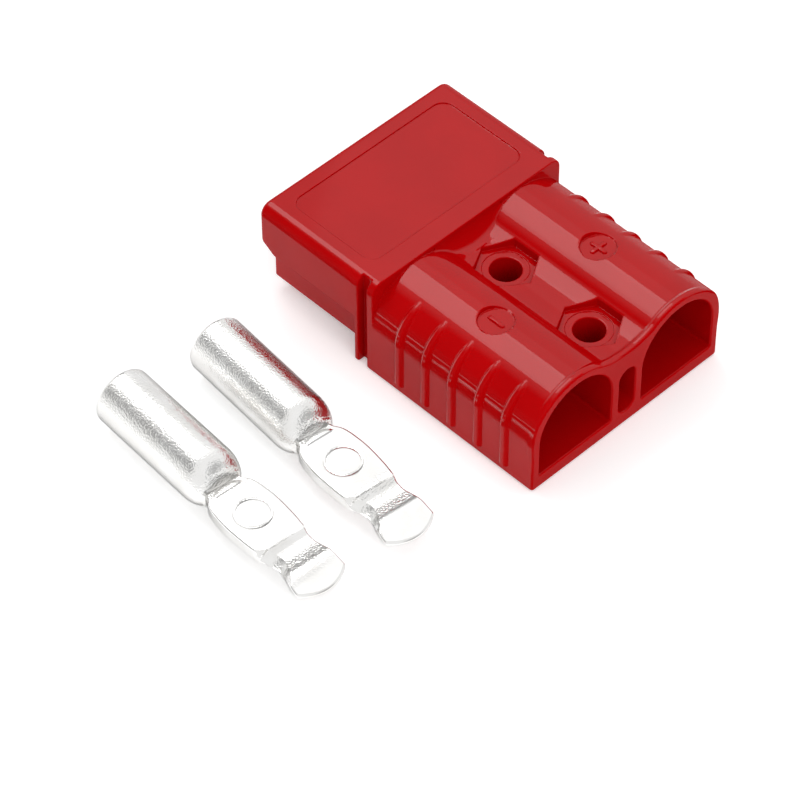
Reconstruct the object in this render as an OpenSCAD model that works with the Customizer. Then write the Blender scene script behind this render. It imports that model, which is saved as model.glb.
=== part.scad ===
// Two-pole genderless power connector: a moulded housing with panel mounting holes,
// two leaf springs inside its mating end, and its two crimp contacts lying beside it.
// Origin on the underside, midway between the mounting holes. +X points to the cable
// entries, the mating end points to -X, +Z is up.

/* [Housing] */
// Width of the housing
body_w = 56; // [52:1:64]
// Height of the housing over its hood
body_h = 25.6; // [25:0.2:29]
// Length of the half that takes the cables
cable_l = 47; // [44:1:60]
// Length of the half that mates, from its front edge to the cable half
hood_l = 34.4; // [33:0.2:42]
// Rounding of the lower long edges
foot_r = 0.8; // [0.4:0.1:1.2]

/* [Hood] */
// Thickness of the hood's top and side walls
hood_wall = 2.8; // [2.2:0.1:3.4]
// Rounding of the hood's long upper edges
hood_r = 2.8; // [1.6:0.1:3.6]
// Rounding of the hood's front edges
hood_front_r = 1.2; // [0.6:0.1:2]
// Length of the slanted cut at the hood's lower front corners
hood_cut_l = 4; // [2:0.5:6]
// Height of that slanted cut
hood_cut_h = 2.5; // [1:0.5:4]
// Thickness of the wall between the two poles
divider_t = 2.4; // [1.6:0.2:3.2]
// How far that wall stays behind the hood's front edge
divider_setback = 3; // [1:0.5:6]

/* [Label field] */
// Length of the sunk field on the hood
label_l = 24.8; // [18:0.2:26]
// Width of that field
label_w = 45.5; // [30:0.5:48]
// Distance from the hood's front edge to the field
label_front = 4.2; // [3:0.2:6]
// Corner rounding of the field
label_r = 3; // [1:0.5:5]
// Depth of the field
label_depth = 0.3; // [0.2:0.1:0.6]

/* [Tongue] */
// How far the tongue stays behind the hood's front edge
tongue_setback = 1; // [0.5:0.1:2]
// Room all round between a tongue and the hood of a mating housing
mating_gap = 0.25; // [0.15:0.05:0.5]
// Bevel along the tongue's lower edges
tongue_bevel = 0.8; // [0.4:0.1:1.5]
// Height of the rails on both sides of a contact
rail_h = 1.6; // [1:0.1:2]

/* [Collar] */
// Thickness of the stop flange
flange_t = 1.1; // [0.8:0.1:2]
// Width of the panel groove behind the flange
groove_w = 2.6; // [1.6:0.1:3.2]
// Depth of the panel groove
groove_d = 1.9; // [1:0.1:2.2]
// Thickness of the plate behind the groove
plate_t = 1.9; // [1.2:0.1:3]
// Thickness of the bulkhead between tunnels and mating end
bulkhead_t = 7; // [6:0.5:10]

/* [Cable tunnels] */
// Wall over and beside a tunnel at the rear rim
tunnel_wall = 2.2; // [1.8:0.1:3]
// Floor under a tunnel
tunnel_floor = 3.65; // [2.5:0.05:4.5]
// Width of the web between the tunnels
web_w = 9.2; // [9:0.2:12]

/* [Arches] */
// How much lower than the hood the rear rim ends
rim_drop = 0.2; // [0:0.1:0.6]
// Rounding of the rear corners
rear_r = 1; // [0.5:0.1:1.5]
// Length of the raised rear rim
rim_t = 1.8; // [1:0.1:3]
// How far the rim stands above the arches
rim_proud = 0.5; // [0.3:0.1:0.8]
// How much larger the arches' radius is than the rim's
arch_ease = 1.8; // [1.2:0.1:3]
// Depth of the rim's saddle below its crown
saddle_drop = 3.9; // [3.4:0.1:4.4]
// How much flatter the saddle is than one that blends into the rim
saddle_ease = 1.07; // [1.05:0.01:1.12]
// Depth of the valley between the arches below the hood
valley_drop = 4.6; // [4.2:0.1:5]
// Radius of the valley's floor
valley_r = 22; // [20:1:28]
// Radius of the hollow between the hood and the valley
valley_fillet_r = 4; // [2:0.5:4]
// Diameter of the sunk discs on the arches
disc_d = 7.9; // [5:0.1:9]
// Depth of those discs
disc_depth = 0.9; // [0.6:0.1:1.2]

/* [Mounting holes] */
// Distance between the two mounting holes
hole_pitch = 24.3; // [22:0.1:26]
// Diameter of the mounting holes
hole_d = 7; // [5:0.1:7.4]
// Width across the flats of the nut pockets
nut_af = 12.3; // [11:0.1:13]
// Depth of the nut pockets below the valley
nut_depth = 1.2; // [0.8:0.1:3]
// Diameter of the round spot face in a nut pocket
spot_d = 10.2; // [9:0.1:10.8]
// Depth of that spot face
spot_depth = 0.2; // [0.1:0.05:0.4]

/* [Web slot] */
// Width of the slot in the web's rear face
slot_w = 4.8; // [4.2:0.1:5.4]
// Height of that slot
slot_h = 12.6; // [10:0.1:13]
// Depth of that slot
slot_depth = 5.6; // [4.4:0.1:6]

/* [Grip ribs] */
// Number of ribs on each side
rib_count = 5; // [3:1:6]
// Distance from rib to rib
rib_pitch = 7.7; // [5:0.1:7.8]
// Width of a rib
rib_w = 2.6; // [1.6:0.1:3]
// How far a rib stands out of the side
rib_proud = 0.9; // [0.5:0.1:1.2]
// Height of a rib's foot above the underside
rib_foot = 2; // [1:0.5:5]
// Radius in which a rib bends over the arch
rib_bend_r = 8; // [7:0.1:9]
// Share of an arch's half width at which a rib dies out
rib_reach = 0.55; // [0.45:0.01:0.65]

/* [Contacts] */
// Length of a contact
contact_l = 67.9; // [62:0.1:69]
// Outer diameter of the crimp barrel
barrel_d = 13.6; // [12:0.1:15]
// Length of the barrel's straight part
barrel_l = 28; // [24:0.5:30]
// Diameter of the crimp bore
crimp_d = 10.8; // [8:0.1:11.4]
// Depth of the crimp bore
crimp_depth = 26; // [20:0.5:27]
// Rounding of the barrel's closed shoulder
shoulder_r = 5.5; // [4:0.1:5.8]
// Bevel round the barrel's open end
barrel_bevel = 0.5; // [0.2:0.1:0.8]
// Greatest width of the palm
palm_w = 13.4; // [11:0.1:14]
// Thickness of the palm
palm_t = 3.2; // [2.6:0.1:3.6]
// How far the palm's mating face lies above the barrel's axis
palm_rise = 0.9; // [0.4:0.1:1.2]
// Side radius of the palm
palm_side_r = 57; // [45:1:80]
// How much narrower the neck is than the palm beside it, on each side
neck_in = 1.3; // [0.6:0.1:1.8]
// Radius of the hollows beside the neck
neck_r = 3; // [2:0.1:4]
// How much narrower the waist is than the palm at the step, on each side
waist_in = 0.45; // [0.2:0.05:0.8]
// Radius of the hollows beside the waist
waist_r = 9; // [7:0.5:12]
// Width of the tip
tip_w = 12.6; // [10:0.1:13]
// Radius of the tip's round end
tip_r = 7.1; // [6.6:0.1:8]
// Length from the step to the tip's end
tip_l = 15.2; // [14:0.2:17]
// Depth of the detent behind the step
detent_depth = 1.6; // [1:0.1:1.8]
// Radius of the detent
detent_r = 9; // [7:0.5:12]
// Radius of the tip's crown
crown_r = 18; // [14:1:24]
// Diameter of the ring mark on the palm
ring_d = 7.8; // [5:0.2:8]
// Width of the ring mark
ring_w = 0.5; // [0.3:0.1:0.8]
// Depth of the ring mark
ring_depth = 0.2; // [0.1:0.05:0.3]

/* [Springs] */
// Width of a leaf spring
spring_w = 11; // [8:0.5:11.5]
// Thickness of a leaf spring
spring_t = 0.8; // [0.5:0.1:1]
// Length of a leaf spring
spring_l = 25; // [20:0.5:25]
// Rise of a leaf spring at its middle
spring_rise = 1.2; // [0.8:0.1:1.5]

/* [Loose contacts] */
// Distance from the housing's side to the nearer contact's open end
loose_gap = 22.1; // [16:0.1:40]
// Distance from the nearer to the farther contact's open end
loose_pitch = 23.9; // [18:0.1:40]
// Place of the nearer contact's open end along the housing
near_x = -48.3; // [-80:0.1:0]
// Place of the farther contact's open end along the housing
far_x = -51.1; // [-80:0.1:0]
// Turn of the nearer contact
near_turn = -5.4; // [-20:0.1:5]
// Turn of the farther contact
far_turn = -3.9; // [-20:0.1:5]

/* [Hidden] */
$fn = 64;
over = 1;
palm_clearance = 0.4;
spring_clearance = 0.3;
seat_gap = 0.05;
spring_preload = 0.2;
spring_seat = 2;
window_headroom = 1.9;
rib_bury_a = 10;

// Stations along the housing
rear_x = cable_l / 2;
joint_x = -cable_l / 2;
front_x = joint_x - hood_l;
plate_x = joint_x - plate_t;
groove_x = plate_x - groove_w;
flange_x = groove_x - flange_t;
tunnel_x = flange_x + bulkhead_t;
tongue_x = front_x + tongue_setback;

// Section of the cable half
half_w = body_w / 2;
tunnel_w = (body_w - web_w - 2 * tunnel_wall) / 2;
tunnel_r = tunnel_w / 2;
pole_y = (web_w + tunnel_w) / 2;
rim_r = tunnel_r + tunnel_wall;
rim_z = body_h - rim_drop;
axis_z = rim_z - rim_r;
arch_r = rim_r + arch_ease;
arch_z = rim_z - rim_proud - arch_r;
saddle_z = rim_z - saddle_drop;
saddle_h = saddle_z - axis_z;
saddle_r = saddle_ease * (pole_y ^ 2 + saddle_h ^ 2 - rim_r ^ 2) / (2 * (rim_r - saddle_h));
saddle_reach = norm([pole_y, saddle_h + saddle_r]);
saddle_w = 2 * (pole_y - rim_r * pole_y / saddle_reach);
valley_z = body_h - valley_drop;
valley_w = pole_y + web_w / 2;
disc_z = arch_z + arch_r - disc_depth;

// Path of a rib: up the side, then along an arc that ends inside the arch
rib_r = rib_w / 2;
rib_y = half_w + rib_proud - rib_r;
rib_tip_a = acos(rib_reach * rim_r / arch_r);
rib_tip = (arch_r - rib_r) * [cos(rib_tip_a), sin(rib_tip_a)] + [pole_y, arch_z];
rib_bend_x = rib_tip.x - rib_y + rib_bend_r;
rib_bend_z = rib_tip.y - sqrt(rib_bend_r ^ 2 - rib_bend_x ^ 2);
rib_bend_a = acos(rib_bend_x / rib_bend_r) + rib_bury_a;

// Heights in the mating end
middle_z = body_h / 2;
hood_edge_z = middle_z + mating_gap;
ceiling_z = body_h - hood_wall;
mouth_w = body_w - 2 * hood_wall;
tongue_w = mouth_w - 2 * mating_gap;
tongue_z = hood_wall + mating_gap;
deck_z = middle_z - palm_t;
rail_z = deck_z + rail_h;
palm_room = palm_w + 2 * palm_clearance;
window_z = deck_z + palm_t + window_headroom;
spring_z = deck_z + spring_preload - spring_rise - spring_t;
spring_room = spring_w + 2 * spring_clearance;
spring_x = flange_x + spring_seat - spring_clearance - spring_l / 2;
divider_room = divider_t + 2 * mating_gap;

// Stations along a contact, from its open end
barrel_r = barrel_d / 2;
shoulder_x = barrel_l + shoulder_r;
palm_top = barrel_r + palm_rise;
palm_bottom = palm_top - palm_t;
palm_root = barrel_l + shoulder_r / 2;
step_x = contact_l - tip_l;
palm_mid = (shoulder_x + step_x) / 2;
palm_end_w = palm_w - 2 * palm_side_r + 2 * sqrt(palm_side_r ^ 2 - (step_x - palm_mid) ^ 2);
neck_y = palm_end_w / 2 - neck_in + neck_r;
waist_x = step_x + sqrt(waist_r ^ 2 - (waist_r - waist_in) ^ 2);
waist_y = palm_end_w / 2 - waist_in + waist_r;
tip_x = contact_l - tip_r;
detent_z = palm_top - detent_depth + detent_r;
detent_x = step_x + sqrt(detent_r ^ 2 - (detent_r - detent_depth / 2) ^ 2);
ridge_x = 2 * detent_x - step_x;
crown_z = palm_top - detent_depth / 2 - crown_r;

module along_x(from, to)
    translate([from, 0, 0]) rotate([90, 0, 90]) linear_extrude(to - from) children();

module along_y(from, to)
    translate([0, to, 0]) rotate([90, 0, 0]) linear_extrude(to - from) children();

module both_sides() {
    children();
    mirror([0, 1, 0]) children();
}

module slab(x, y, z)
    translate([x[0], y[0], z[0]]) cube([x[1] - x[0], y[1] - y[0], z[1] - z[0]]);

// A rectangle standing on the first axis, centred, with its lower corners cut at an angle
module footed(w, h, cut)
    polygon([[cut - w / 2, 0], [w / 2 - cut, 0], [w / 2, cut], [w / 2, h], [-w / 2, h], [-w / 2, cut]]);

// The housing's outline over the hood, with round upper corners
module hood_outline(bottom) {
    translate([-half_w, bottom]) square([body_w, body_h - hood_r - bottom]);
    translate([hood_r - half_w, bottom]) square([body_w - 2 * hood_r, body_h - bottom]);
    for (side = [-1, 1])
        translate([side * (half_w - hood_r), body_h - hood_r]) circle(hood_r);
}

// The hood from the side, with its slanted lower corner and its round upper one
module hood_side() {
    difference() {
        union() {
            translate([front_x + hood_front_r, hood_edge_z])
                square([hood_l - hood_front_r, body_h - hood_edge_z]);
            translate([front_x, hood_edge_z])
                square([hood_l, body_h - hood_edge_z - hood_front_r]);
            translate([front_x + hood_front_r, body_h - hood_front_r]) circle(hood_front_r);
        }
        polygon([
            [front_x - over, hood_edge_z - over],
            [front_x + hood_cut_l, hood_edge_z - over],
            [front_x + hood_cut_l, hood_edge_z],
            [front_x, hood_edge_z + hood_cut_h],
            [front_x - over, hood_edge_z + hood_cut_h]
        ]);
    }
}

// The hood from above, with round front corners
module hood_plan() {
    translate([front_x + hood_front_r, -half_w]) square([hood_l - hood_front_r, body_w]);
    translate([front_x, hood_front_r - half_w]) square([hood_l, body_w - 2 * hood_front_r]);
    for (side = [-1, 1])
        translate([front_x + hood_front_r, side * (half_w - hood_front_r)]) circle(hood_front_r);
}

module hood() {
    intersection() {
        along_x(front_x, joint_x) hood_outline(hood_edge_z);
        along_y(-half_w, half_w) hood_side();
        linear_extrude(body_h) hood_plan();
    }
}

module tongue() {
    intersection() {
        translate([0, 0, tongue_z]) along_x(tongue_x, flange_x + over)
            footed(tongue_w, rail_z - tongue_z, tongue_bevel);
        along_y(-half_w, half_w) polygon([
            [tongue_x + tongue_bevel, tongue_z],
            [flange_x + over, tongue_z],
            [flange_x + over, rail_z],
            [tongue_x, rail_z],
            [tongue_x, tongue_z + tongue_bevel]
        ]);
    }
}

// Flange, groove and plate are one block the size of the hood, standing on the underside
module collar() {
    difference() {
        along_x(flange_x, joint_x + over) intersection() {
            hood_outline(0);
            footed(body_w, body_h, foot_r);
        }
        both_sides() slab([groove_x, plate_x], [half_w - groove_d, half_w + over], [-over, body_h + over]);
        slab([joint_x, joint_x + 2 * over], [-half_w - over, half_w + over], [axis_z, body_h + over]);
    }
}

// Section of the cable half: two arches, upright sides and a shallow valley
module arch_outline() {
    intersection() {
        union() {
            for (side = [-1, 1]) translate([side * pole_y, arch_z]) circle(arch_r);
            translate([-half_w, 0]) square([body_w, arch_z]);
            difference() {
                translate([-valley_w / 2, 0]) square([valley_w, rim_z - rim_proud]);
                translate([0, valley_z + valley_r]) circle(valley_r);
            }
        }
        footed(body_w, body_h, foot_r);
    }
}

// Section of the rear rim: arches round the tunnels, joined by a saddle
module rim_outline() {
    intersection() {
        union() {
            for (side = [-1, 1]) translate([side * pole_y, axis_z]) circle(rim_r);
            translate([-half_w, 0]) square([body_w, axis_z]);
            difference() {
                translate([-saddle_w / 2, 0]) square([saddle_w, rim_z]);
                translate([0, saddle_z + saddle_r]) circle(saddle_r);
            }
        }
        footed(body_w, body_h, foot_r);
    }
}

// The half that takes the cables, with round rear corners
module cable_half() {
    intersection() {
        union() {
            along_x(joint_x, rear_x) arch_outline();
            along_x(rear_x - rim_t, rear_x) rim_outline();
        }
        linear_extrude(body_h) {
            translate([joint_x, -half_w]) square([cable_l - rear_r, body_w]);
            translate([joint_x, rear_r - half_w]) square([cable_l, body_w - 2 * rear_r]);
            for (side = [-1, 1]) translate([rear_x - rear_r, side * (half_w - rear_r)]) circle(rear_r);
        }
    }
}

// Hollow ramp from the hood's rear edge down to the valley
module valley_ramp() {
    difference() {
        slab([joint_x - over, joint_x + valley_fillet_r], [-valley_w / 2, valley_w / 2],
            [axis_z, valley_z + valley_fillet_r]);
        translate([joint_x + valley_fillet_r, 0, valley_z + valley_fillet_r]) rotate([90, 0, 0])
            cylinder(r = valley_fillet_r, h = valley_w + 2 * over, center = true);
    }
}

// A round rib up the side that bends over the arch and sinks into it
module grip_rib() {
    translate([0, rib_y, rib_foot + rib_r]) {
        sphere(r = rib_r);
        cylinder(r = rib_r, h = rib_bend_z - rib_foot - rib_r);
    }
    translate([0, rib_y - rib_bend_r, rib_bend_z]) rotate([90, 0, 90])
        rotate_extrude(angle = rib_bend_a) translate([rib_bend_r, 0]) circle(rib_r);
}

module grip_ribs() {
    for (i = [0 : rib_count - 1])
        translate([(i - (rib_count - 1) / 2) * rib_pitch, 0, 0]) both_sides() grip_rib();
}

// Tunnel with a flat floor, upright sides and a round ceiling
module tunnels() {
    both_sides() along_x(tunnel_x, rear_x + over) intersection() {
        union() {
            translate([pole_y, axis_z]) circle(tunnel_r);
            translate([pole_y - tunnel_r, 0]) square([tunnel_w, axis_z]);
        }
        translate([0, tunnel_floor]) square([half_w, body_h]);
    }
}

// Room under the hood, left open to the front and below, with a wall between the poles
module mouth() {
    difference() {
        slab([front_x - over, flange_x], [-mouth_w / 2, mouth_w / 2], [rail_z, ceiling_z]);
        slab([front_x + divider_setback, flange_x + over], [-divider_t / 2, divider_t / 2],
            [hood_edge_z, ceiling_z + over]);
    }
}

// The gap in the tongue that lets the wall of a mating housing pass
module tongue_gap()
    slab([tongue_x - over, flange_x], [-divider_room / 2, divider_room / 2], [-over, middle_z]);

// Channels for the contacts' palms, windows to the tunnels and seats for the springs
module contact_ways() {
    both_sides() translate([0, pole_y, 0]) {
        slab([tongue_x - over, flange_x + over], [-palm_room / 2, palm_room / 2], [deck_z, middle_z]);
        slab([flange_x - over, tunnel_x + over], [-palm_room / 2, palm_room / 2], [deck_z, window_z]);
        slab([spring_x - spring_l / 2 - spring_clearance, flange_x + spring_seat],
            [-spring_room / 2, spring_room / 2], [spring_z - seat_gap, window_z]);
    }
}

module mounting_holes() {
    for (end = [-1, 1]) translate([end * hole_pitch / 2, 0, 0]) {
        translate([0, 0, -over]) cylinder(d = hole_d, h = body_h + 2 * over);
        translate([0, 0, valley_z - nut_depth]) {
            cylinder(d = nut_af / cos(30), h = body_h, $fn = 6);
            translate([0, 0, -spot_depth]) cylinder(d = spot_d, h = body_h);
        }
    }
}

// Blind slot with round ends in the web's rear face
module web_slot() {
    along_x(rear_x - slot_depth, rear_x + over) {
        for (end = [slot_w / 2, slot_h - slot_w / 2])
            translate([0, tunnel_floor + end]) circle(d = slot_w);
        translate([-slot_w / 2, tunnel_floor + slot_w / 2]) square([slot_w, slot_h - slot_w]);
    }
}

module sunk_discs()
    both_sides() translate([0, pole_y, disc_z]) cylinder(d = disc_d, h = body_h);

// Sunk field with round corners on top of the hood
module label_field() {
    translate([front_x + label_front, -label_w / 2, body_h - label_depth]) linear_extrude(over) {
        translate([label_r, 0]) square([label_l - 2 * label_r, label_w]);
        translate([0, label_r]) square([label_l, label_w - 2 * label_r]);
        for (x = [label_r, label_l - label_r], y = [label_r, label_w - label_r])
            translate([x, y]) circle(label_r);
    }
}

module housing() {
    color("firebrick") difference() {
        union() {
            hood();
            tongue();
            collar();
            cable_half();
            valley_ramp();
            grip_ribs();
        }
        mouth();
        tongue_gap();
        contact_ways();
        tunnels();
        mounting_holes();
        web_slot();
        sunk_discs();
        label_field();
    }
}

// Half section of the crimp barrel, from its axis outwards
module barrel_section() {
    difference() {
        union() {
            translate([0, barrel_bevel]) square([barrel_r, barrel_l - barrel_bevel]);
            polygon([[0, 0], [barrel_r - barrel_bevel, 0], [barrel_r, barrel_bevel], [0, barrel_bevel]]);
            square([barrel_r - shoulder_r, shoulder_x]);
            intersection() {
                translate([barrel_r - shoulder_r, barrel_l]) circle(shoulder_r);
                square([barrel_r, shoulder_x]);
            }
        }
        translate([0, -over]) square([crimp_d / 2, crimp_depth + over]);
    }
}

// The palm from above: a hollowed neck, two bulged edges, a hollowed waist and a round tip
module palm_plan() {
    difference() {
        union() {
            intersection() {
                translate([palm_mid, palm_side_r - palm_w / 2]) circle(palm_side_r, $fn = 256);
                translate([palm_mid, palm_w / 2 - palm_side_r]) circle(palm_side_r, $fn = 256);
                translate([palm_root, -palm_w]) square([waist_x - palm_root, 2 * palm_w]);
            }
            translate([step_x, -tip_w / 2]) square([tip_x - step_x, tip_w]);
            intersection() {
                translate([tip_x, 0]) circle(tip_r);
                translate([tip_x - tip_r, -tip_w / 2]) square([2 * tip_r, tip_w]);
            }
        }
        for (side = [-1, 1]) {
            translate([shoulder_x, side * neck_y]) circle(neck_r);
            translate([waist_x, side * waist_y]) circle(waist_r, $fn = 128);
        }
    }
}

// The palm from the side: flat face, step, detent, ridge and falling tip
module palm_side() {
    translate([palm_root, palm_bottom]) square([step_x - palm_root, palm_t]);
    difference() {
        translate([step_x - over, palm_bottom]) square([ridge_x - step_x + over, palm_t - detent_depth / 2]);
        translate([detent_x, detent_z]) circle(detent_r, $fn = 128);
    }
    intersection() {
        translate([ridge_x - over / 2, palm_bottom]) square([contact_l - ridge_x + over / 2, palm_t]);
        translate([ridge_x, crown_z]) circle(crown_r, $fn = 128);
    }
}

// Plain ring mark on the palm
module ring_mark() {
    translate([palm_mid, 0, palm_top - ring_depth]) difference() {
        cylinder(d = ring_d, h = over);
        translate([0, 0, -over]) cylinder(d = ring_d - 2 * ring_w, h = 3 * over);
    }
}

// A crimp contact lying on its barrel, its open end at the origin
module contact() {
    color("gainsboro") {
        difference() {
            union() {
                translate([0, 0, barrel_r]) rotate([0, 90, 0]) rotate_extrude() barrel_section();
                intersection() {
                    linear_extrude(barrel_d) palm_plan();
                    along_y(-palm_w, palm_w) palm_side();
                }
            }
            ring_mark();
        }
    }
}

module contact_near()
    translate([near_x, -half_w - loose_gap, 0]) rotate([0, 0, near_turn]) contact();

module contact_far()
    translate([far_x, -half_w - loose_gap - loose_pitch, 0]) rotate([0, 0, far_turn]) contact();

// Bowed leaf spring resting on its two ends
module leaf_spring(side) {
    bow_r = (spring_l ^ 2 / 4 + spring_rise ^ 2) / (2 * spring_rise);
    color("lightsteelblue") translate([spring_x, side * pole_y, spring_z + spring_rise - bow_r])
        along_y(-spring_w / 2, spring_w / 2) intersection() {
            difference() {
                circle(bow_r + spring_t, $fn = 256);
                circle(bow_r, $fn = 256);
            }
            translate([-spring_l / 2, 0]) square([spring_l, bow_r + 2 * spring_t]);
        }
}

module contact_spring_left() leaf_spring(1);

module contact_spring_right() leaf_spring(-1);

housing();
contact_near();
contact_far();
contact_spring_left();
contact_spring_right();
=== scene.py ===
import math

import bmesh
import bpy
import numpy as np
from mathutils import Matrix, Vector


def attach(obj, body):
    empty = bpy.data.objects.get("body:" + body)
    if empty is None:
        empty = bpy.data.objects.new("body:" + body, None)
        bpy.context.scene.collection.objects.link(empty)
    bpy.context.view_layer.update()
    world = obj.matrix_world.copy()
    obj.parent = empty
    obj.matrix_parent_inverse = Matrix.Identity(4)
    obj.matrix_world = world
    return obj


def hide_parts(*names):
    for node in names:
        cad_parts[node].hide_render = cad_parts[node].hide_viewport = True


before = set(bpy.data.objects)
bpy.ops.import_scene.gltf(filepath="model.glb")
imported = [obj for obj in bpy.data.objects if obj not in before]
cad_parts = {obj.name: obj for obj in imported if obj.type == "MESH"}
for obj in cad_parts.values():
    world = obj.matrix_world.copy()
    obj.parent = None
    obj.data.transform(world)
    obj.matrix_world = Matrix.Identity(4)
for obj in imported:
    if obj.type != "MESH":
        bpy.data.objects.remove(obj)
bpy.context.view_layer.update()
millimetre = 0.001
print("frame loaded:", sorted(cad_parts))


# Camera: turned round the housing's rear face, then slid sideways and up in its own plane

photoView = dict(
    azimuth=45.778,          # degrees round the upright axis
    elevation=47.814,        # degrees above the floor
    roll=-0.166,             # degrees
    distance=836.5,          # mm from the pivot
    slide=(-47.134, 4.607),  # mm right and up
    pivot=(23.5, 0.0, 0.0),  # mm, foot of the rear face
    lens=179.963,            # mm on the sensor below
    sensor=36.0,
    nearClip=0.01,           # m
)


def placeCamera(view):
    # back points from the pivot to the camera; right lies level; roll turns both about back
    a, e, r = (math.radians(view[k]) for k in ("azimuth", "elevation", "roll"))
    back = Vector((math.sin(a) * math.cos(e), -math.cos(a) * math.cos(e), math.sin(e)))
    level = Vector((math.cos(a), math.sin(a), 0.0))
    steep = back.cross(level)
    right = math.cos(r) * level + math.sin(r) * steep
    up = math.cos(r) * steep - math.sin(r) * level
    place = Vector(view["pivot"]) + back * view["distance"] + right * view["slide"][0] + up * view["slide"][1]
    lens = bpy.data.cameras.new("photoCamera")
    lens.lens = view["lens"]
    lens.sensor_width = view["sensor"]
    lens.clip_start = view["nearClip"]
    camera = bpy.data.objects.new("photoCamera", lens)
    bpy.context.collection.objects.link(camera)
    turn = Matrix((right, up, back)).transposed().to_4x4()
    camera.matrix_world = Matrix.Translation(place * millimetre) @ turn
    bpy.context.scene.camera = camera


placeCamera(photoView)
print("camera placed")


# Studio: white floor, two soft boxes that show in reflections, three plain fills and a grey room

studio = dict(
    floorSize=6.0,                  # m
    floorDrop=0.0001,               # m below the part's foot
    floorColour=(0.93, 0.93, 0.93),
    floorLift=0.28,                 # added where the camera or a reflection sees the floor
    roomLight=0.62,                 # brightness of the room as light
    roomSeen=0.95,                  # and where the camera or a reflection sees it
    # darker patches: towards, cosines where it starts and is darkest, share left
    gaps=(
        ((-0.48, -0.65, 0.59), (0.915, 0.985), 0.42),
        ((0.85, 0.25, 0.45), (0.89, 0.975), 0.52),
        ((-0.80, 0.45, 0.40), (0.960, 0.990), 0.35),
    ),
)
# place and aim in m, width and height in m, power in W, seen in reflections
lamps = dict(
    softBox=((-0.561, 0.066, 0.946), (0, 0, 0.02), (0.66, 0.42), 2.3, True),
    sideBox=((-0.340, 0.630, 1.070), (0, -0.05, 0), (0.72, 0.66), 0.35, True),
    leftFill=((-0.75, -1.05, 1.00), (0, -0.02, 0), (1.0, 1.0), 2.2, False),
    topFill=((0.15, 0.10, 1.35), (0, -0.02, 0), (0.9, 0.9), 2.8, False),
    rightFill=((1.25, -0.45, 0.95), (0, -0.02, 0), (1.0, 1.0), 7.8, False),
)


def nodesOf(tree):
    # an emptied tree's nodes and links
    tree.nodes.clear()
    return tree.nodes, tree.links


def mathNode(nodes, links, operation, a, b=0.0):
    # one step of arithmetic on sockets or plain numbers
    step = nodes.new("ShaderNodeMath")
    step.operation = operation
    for value, socket in ((a, step.inputs[0]), (b, step.inputs[1])):
        if isinstance(value, bpy.types.NodeSocket):
            links.new(value, socket)
        else:
            socket.default_value = value
    return step.outputs[0]


def easeNode(nodes, links, source, span, low, high):
    # from low to high as the source crosses the span, with soft ends
    ease = nodes.new("ShaderNodeMapRange")
    ease.interpolation_type = "SMOOTHSTEP"
    ease.inputs["From Min"].default_value, ease.inputs["From Max"].default_value = span
    ease.inputs["To Min"].default_value, ease.inputs["To Max"].default_value = low, high
    links.new(source, ease.inputs["Value"])
    return ease.outputs["Result"]


def seenRays(nodes, links):
    # 1 for the camera's rays, reflections and rays through glass, 0 for light on other surfaces
    rays = nodes.new("ShaderNodeLightPath").outputs
    direct = mathNode(nodes, links, "MAXIMUM", rays["Is Camera Ray"], rays["Is Glossy Ray"])
    return mathNode(nodes, links, "MAXIMUM", direct, rays["Is Transmission Ray"])


def litFloor(values):
    # a wide pale square that glows a little for the camera and for reflections
    half, low = values["floorSize"] / 2, -values["floorDrop"]
    mesh = bpy.data.meshes.new("floor")
    corners = [(-half, -half, low), (half, -half, low), (half, half, low), (-half, half, low)]
    mesh.from_pydata(corners, [], [(0, 1, 2, 3)])
    floor = bpy.data.objects.new("floor", mesh)
    bpy.context.collection.objects.link(floor)
    material = bpy.data.materials.new("paleFloor")
    material.use_nodes = True
    nodes, links = nodesOf(material.node_tree)
    out = nodes.new("ShaderNodeOutputMaterial")
    paint = nodes.new("ShaderNodeBsdfDiffuse")
    paint.inputs["Color"].default_value = (*values["floorColour"], 1)
    glow = nodes.new("ShaderNodeEmission")
    lift = mathNode(nodes, links, "MULTIPLY", seenRays(nodes, links), values["floorLift"])
    links.new(lift, glow.inputs["Strength"])
    both = nodes.new("ShaderNodeAddShader")
    links.new(paint.outputs[0], both.inputs[0])
    links.new(glow.outputs[0], both.inputs[1])
    links.new(both.outputs[0], out.inputs["Surface"])
    mesh.materials.append(material)


def greyRoom(values):
    # an even room with a few darker patches, each eased by the cosine to its middle
    world = bpy.data.worlds.new("greyRoom")
    world.use_nodes = True
    bpy.context.scene.world = world
    nodes, links = nodesOf(world.node_tree)
    out = nodes.new("ShaderNodeOutputWorld")
    shade = nodes.new("ShaderNodeBackground")
    towards = nodes.new("ShaderNodeTexCoord")
    more = values["roomSeen"] - values["roomLight"]
    extra = mathNode(nodes, links, "MULTIPLY", seenRays(nodes, links), more)
    level = mathNode(nodes, links, "ADD", extra, values["roomLight"])
    for middle, span, share in values["gaps"]:
        cosine = nodes.new("ShaderNodeVectorMath")
        cosine.operation = "DOT_PRODUCT"
        cosine.inputs[1].default_value = Vector(middle).normalized()
        links.new(towards.outputs["Generated"], cosine.inputs[0])
        patch = easeNode(nodes, links, cosine.outputs["Value"], span, 1, share)
        level = mathNode(nodes, links, "MULTIPLY", level, patch)
    links.new(level, shade.inputs["Strength"])
    shade.inputs["Color"].default_value = (1, 1, 1, 1)
    links.new(shade.outputs[0], out.inputs["Surface"])


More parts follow.
